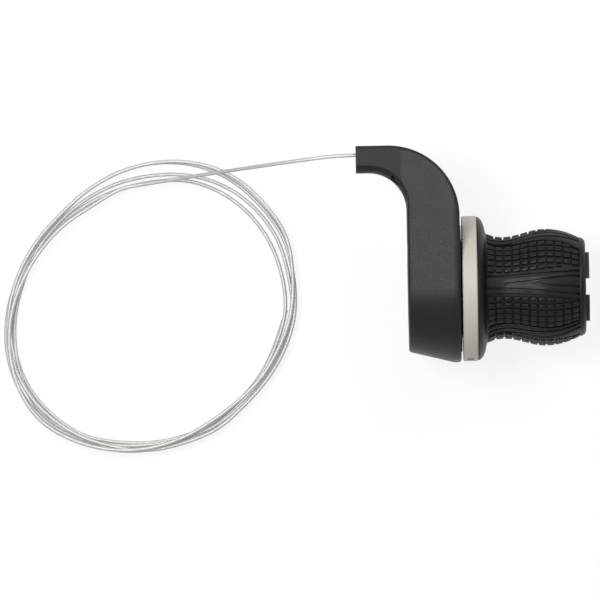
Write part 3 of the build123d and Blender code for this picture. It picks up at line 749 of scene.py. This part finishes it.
class SHIFTER_OT_stage(bpy.types.Operator):
    """White floor, soft light and the camera straight above"""

    bl_idname = "shifter.stage"
    bl_label = "Stage"

    def execute(self, context):
        scene = context.scene
        levels = scene.shifter_stage
        scene.view_settings.view_transform = "Standard"
        camera = bpy.data.cameras.new("camera")
        camera.angle = 2 * math.atan(levels.frame_width / 2 / levels.camera_height)
        camera.clip_end = CAMERA_REACH
        holder = bpy.data.objects.new("camera", camera)
        scene.collection.objects.link(holder)
        holder.location = CAMERA_AIM + Vector((0, 0, levels.camera_height))
        holder.rotation_euler.z = -math.radians(PICTURE_ROLL)
        scene.camera = holder
        softbox("key_softbox", levels.key, *KEY_SOFTBOX)
        softbox("fill_softbox", levels.fill, *FILL_SOFTBOX)
        half = FLOOR_HALF
        outline = ((-half, -half), (half, -half), (half, half), (-half, half))
        corners = [(x, y, FLOOR_Z) for x, y in outline]
        mesh_piece("floor", corners, [(0, 1, 2, 3)], floor_finish(), 30.0)
        scene.world = even_sky(levels.sky)
        return {"FINISHED"}


# Cable
def coil_points():
    """Points of the coil's turns, from its top down to the free end on the floor."""
    points = []
    count = round((COIL_END - COIL_START) / 360 * COIL_STEPS)
    # The spline runs inside its points, so they stand out by as much
    swell = 1 / math.cos(math.pi / COIL_STEPS)
    tables = all_round(COIL_INNER), all_round(COIL_OUTER)
    for k in range(1, count + 1):
        share = k / count
        degrees = COIL_START + (COIL_END - COIL_START) * share
        inner, outer = (between(table, degrees % 360) for table in tables)
        units = inner + (outer - inner) * between(COIL_SHARES, degrees)
        radius = units * COIL_UNIT * swell
        turn = math.radians(degrees - PICTURE_ROLL)
        x = COIL_CENTRE[0] + radius * math.cos(turn)
        y = COIL_CENTRE[1] + radius * math.sin(turn)
        points.append((x, y, COIL_TOP_Z + (COIL_FOOT_Z - COIL_TOP_Z) * share))
    return points


def spline_line(points):
    """Points read from the smooth spline whose control points are given."""
    curve = bpy.data.curves.new("cable_route", "CURVE")
    curve.dimensions = "3D"
    curve.resolution_u = LINE_RESOLUTION
    spline = curve.splines.new("NURBS")
    spline.points.add(len(points) - 1)
    for knot, point in zip(spline.points, points):
        knot.co = (*point, 1.0)
    spline.order_u = 3
    spline.use_endpoint_u = True
    holder = bpy.data.objects.new("cable_route", curve)
    bpy.context.scene.collection.objects.link(holder)
    bpy.context.view_layer.update()
    mesh = bpy.data.meshes.new_from_object(holder)
    line = [vertex.co.copy() for vertex in mesh.vertices]
    bpy.data.objects.remove(holder)
    bpy.data.curves.remove(curve)
    bpy.data.meshes.remove(mesh)
    return line


def stranded(line, sizes):
    """Skin of a stranded wire that follows a line."""
    half = sizes.diameter / 2
    around = sizes.strands * len(STRAND_LOBES)
    side = Vector((0, 0, 1))
    travelled = 0.0
    rings = []
    for k, point in enumerate(line):
        ahead = line[min(k + 1, len(line) - 1)] - line[max(k - 1, 0)]
        ahead.normalize()
        side = (side - ahead * side.dot(ahead)).normalized()
        up = ahead.cross(side)
        if k:
            travelled += (point - line[k - 1]).length
        twist = math.tau * travelled / sizes.pitch
        ring = []
        for i in range(around):
            turn = math.tau * i / around + twist
            radius = half * STRAND_LOBES[i % len(STRAND_LOBES)]
            ring.append(point + (side * math.cos(turn) + up * math.sin(turn)) * radius)
        rings.append(ring)
    shells = Shells()
    shells.loft(rings)
    return shells


class SHIFTER_OT_cable(bpy.types.Operator):
    """Loose inner cable: the run from the elbow and its coil, in one stranded wire"""

    bl_idname = "shifter.cable"
    bl_label = "Cable"

    def execute(self, context):
        sizes = context.scene.shifter_cable
        colour = context.scene.shifter_colours.wire
        steel = steel_finish("cable_steel", colour, rough=0.55, brushed=(1.0, 1.0, 1.0))
        line = spline_line([*RUN_POINTS, *coil_points()])
        shells = stranded(line, sizes)
        cable = mesh_piece(
            "loose_cable", shells.points, shells.faces, steel, smooth_below=60.0
        )
        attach(cable, "housing")
        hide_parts("cable_run", "cable_coil")
        dress(steel, "cable_in_elbow", "cable_wrap", "cable_head")
        return {"FINISHED"}


# Housing
class SHIFTER_OT_housing(bpy.types.Operator):
    """Drum, elbow, end plate and clamp pad"""

    bl_idname = "shifter.housing"
    bl_label = "Housing"

    def execute(self, context):
        colours = context.scene.shifter_colours
        dress(housing_finish(colours.housing), "housing_shell")
        dress(cover_finish(colours.cover), "end_plate", "clamp_shoe")
        return {"FINISHED"}


class SHIFTER_OT_fasteners(bpy.types.Operator):
    """Screws, nut, detent spring and thrust washers"""

    bl_idname = "shifter.fasteners"
    bl_label = "Fasteners"

    def execute(self, context):
        colours = context.scene.shifter_colours
        zinc = steel_finish("screw_steel", colours.screws, rough=0.3, brushed=(0.3, 1.0, 1.0))
        bright = steel_finish("spring_steel", colours.spring, rough=0.2, brushed=(1.0, 0.1, 1.0))
        dress(zinc, "cover_screws", "clamp_screw", "clamp_nut")
        dress(bright, "detent_spring")
        dress(washer_finish(colours.washers), "inner_washer", "outer_washer")
        return {"FINISHED"}


# Grip
class SHIFTER_OT_core(bpy.types.Operator):
    """Turning core and indicator ring"""

    bl_idname = "shifter.core"
    bl_label = "Core and ring"

    def execute(self, context):
        colours = context.scene.shifter_colours
        dress(core_finish(colours.core), "grip_core")
        dress(ring_finish(colours.ring), "indicator_ring")
        return {"FINISHED"}


def sleeve_body(shells, tread, low, high):
    """Turned body of the sleeve: flange, pocket floor and rounded end."""
    left, flange = low[0] / MM, high[1] / MM
    (neck_x, neck), (end_x, end) = NECK_MM, END_MM
    profile = [(left, SLEEVE_BORE_MM)]
    profile += [(left + step, flange + rise) for step, rise in RIM_EDGE_MM]
    for k in range(1, FLANGE_STEPS + 1):
        fall = FLANGE_FALL[-1][0] * k / FLANGE_STEPS
        profile.append((left + between(FLANGE_FALL, fall), flange - fall))
    profile += [(neck_x + step, neck + rise) for step, rise in NECK_EDGE_MM]
    floor_length = end_x - neck_x - 2 * POCKET_INSET_MM
    for k in range(1, POCKET_STEPS):
        x = neck_x + POCKET_INSET_MM + floor_length * k / POCKET_STEPS
        profile.append((x, grip_radius(x) - tread.depth))
    profile.append((end_x - WALL_FOOT_MM, end - tread.depth))
    profile.append((end_x - WALL_TOP_MM, end - WALL_TOP_MM))
    lip_x = end_x + LIP_START_MM
    tip_x = high[0] / MM + tread.overhang
    for k in range(LIP_STEPS + 1):
        turn = math.pi / 2 * k / LIP_STEPS
        x = lip_x + (tip_x - lip_x) * math.sin(turn)
        profile.append((x, end - LIP_FALL_MM * (1 - math.cos(turn))))
    profile.append((tip_x, SLEEVE_BORE_MM))
    angles = [360 * i / SLEEVE_AROUND for i in range(SLEEVE_AROUND)]
    rings = [[round_bar(x, radius, angle) for angle in angles] for x, radius in profile]
    shells.loft([*rings, rings[0]], capped=False)


def tread_land(shells, groove, lower, upper, lower_start, upper_start, turn):
    """Raised land between two grooves, which open at a place along the grip."""
    start = NECK_MM[0] - LAND_PAST_MM
    length = END_MM[0] - NECK_MM[0] + 2 * LAND_PAST_MM
    rings = []
    for k in range(LAND_STEPS + 1):
        x = start + length * k / LAND_STEPS
        edge = groove / 2 * angle_of_mm(x)
        open_low = eased((x - lower_start) / OPENING_MM)
        open_high = eased((x - upper_start) / OPENING_MM)
        first = between(lower, x) + edge * open_low
        last = between(upper, x) - edge * open_high
        width = last - first
        rounding = min(edge, width / 3)
        low_edge = [(first + share * rounding, drop * open_low) for share, drop in LAND_EDGE]
        high_edge = [(last - share * rounding, drop * open_high) for share, drop in LAND_EDGE]
        section = [
            (first, ROOT_MM),
            *low_edge,
            *[(first + share * width, 0.0) for share in LAND_TOP],
            *reversed(high_edge),
            (last, ROOT_MM),
        ]
        radius = grip_radius(x)
        rings.append([round_bar(x, radius - drop, angle + turn) for angle, drop in section])
    shells.loft(rings)


def tread_block(shells, tread, middle_x, first, last, turn):
    """Rounded block that stands on the pocket's floor."""
    degree = angle_of_mm(middle_x)
    half_x = tread.block_length / 2
    half_turn = (last - first) / 2 / degree
    corner = min(tread.block_corner, half_turn * CORNER_SHARE)
    middle = (first + last) / 2 + turn
    rings = []
    for inset, drop in BLOCK_EDGE_MM:
        reach = max(corner - inset, CORNER_LEAST_MM)
        ring = []
        for quarter, (way_x, way_turn) in enumerate(CORNERS):
            for k in range(CORNER_POINTS):
                angle = math.pi / 2 * (quarter + k / (CORNER_POINTS - 1))
                x = middle_x + way_x * (half_x - corner) + reach * math.cos(angle)
                across = way_turn * (half_turn - corner) + reach * math.sin(angle)
                ring.append(round_bar(x, grip_radius(x) - drop, middle + across * degree))
        rings.append(ring)
    shells.loft(rings)


def tread_panel(shells, tread, rows, top, foot, turn):
    """Blocks of one pocket, cut short at its edges."""
    pitch = (END_MM[0] - NECK_MM[0]) / tread.columns
    for column in range(tread.columns):
        x = NECK_MM[0] + pitch * (column + 0.5)
        gap = BLOCK_GAP_MM * angle_of_mm(x)
        for row in rows:
            first = max(row - tread.block_angle / 2, between(top, x) + gap)
            last = min(row + tread.block_angle / 2, between(foot, x) - gap)
            if last - first > BLOCK_LEAST:
                tread_block(shells, tread, x, first, last, turn)


class SHIFTER_OT_sleeve(bpy.types.Operator):
    """Rubber sleeve with its flange, pockets of blocks, fan and wave grooves"""

    bl_idname = "shifter.sleeve"
    bl_label = "Rubber sleeve"

    def execute(self, context):
        tread = context.scene.shifter_tread
        low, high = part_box("rubber_sleeve")
        shells = Shells()
        sleeve_body(shells, tread, low, high)
        for k in range(REPEATS):
            turn = 360 / REPEATS * k
            lands, foot = WAVE_LANDS, POCKET_FOOT
            if k == REPEATS - 1:
                lands, foot = FADING_LANDS, FADING_FOOT
            for land in FAN_LANDS:
                tread_land(shells, tread.fan_groove, *land, turn)
            for land in lands:
                tread_land(shells, tread.wave_groove, *land, turn)
            tread_panel(shells, tread, UPPER_ROWS, POCKET_TOP, RAIL_TOP, turn)
            tread_panel(shells, tread, LOWER_ROWS, FAN_LAST, foot, turn)
        rubber = rubber_finish(context.scene.shifter_colours.rubber)
        sleeve = mesh_piece(
            "treaded_sleeve", shells.points, shells.faces, rubber, smooth_below=45.0
        )
        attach(sleeve, "twist_grip")
        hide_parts("rubber_sleeve")
        return {"FINISHED"}


class SHIFTER_PT_pieces(bpy.types.Panel):
    """Pieces, sizes and colours of the shifter"""

    bl_label = "Shifter"
    bl_idname = "SHIFTER_PT_pieces"
    bl_space_type = "VIEW_3D"
    bl_region_type = "UI"
    bl_category = "Shifter"

    def draw(self, context):
        for operator in OPERATORS:
            self.layout.operator(operator.bl_idname)
        for name in GROUPS:
            group = getattr(context.scene, name)
            box = self.layout.box()
            for key in group.__annotations__:
                box.prop(group, key)


OPERATORS = (
    SHIFTER_OT_stage,
    SHIFTER_OT_cable,
    SHIFTER_OT_housing,
    SHIFTER_OT_fasteners,
    SHIFTER_OT_core,
    SHIFTER_OT_sleeve,
)
GROUPS = {
    "shifter_cable": CableSizes,
    "shifter_tread": TreadSizes,
    "shifter_colours": PieceColours,
    "shifter_stage": StageLevels,
}
CLASSES = (*GROUPS.values(), *OPERATORS, SHIFTER_PT_pieces)


def register():
    """Registers the classes and the settings."""
    for kind in CLASSES:
        bpy.utils.register_class(kind)
    for name, kind in GROUPS.items():
        setattr(bpy.types.Scene, name, bpy.props.PointerProperty(type=kind))


def unregister():
    """Takes the settings and the classes out again."""
    for name in GROUPS:
        delattr(bpy.types.Scene, name)
    for kind in reversed(CLASSES):
        bpy.utils.unregister_class(kind)


def main():
    """Builds the stage and every piece."""
    register()
    bpy.ops.shifter.stage()
    bpy.ops.shifter.cable()
    bpy.ops.shifter.housing()
    bpy.ops.shifter.fasteners()
    bpy.ops.shifter.core()
    bpy.ops.shifter.sleeve()


if __name__ == "__main__":
    main()
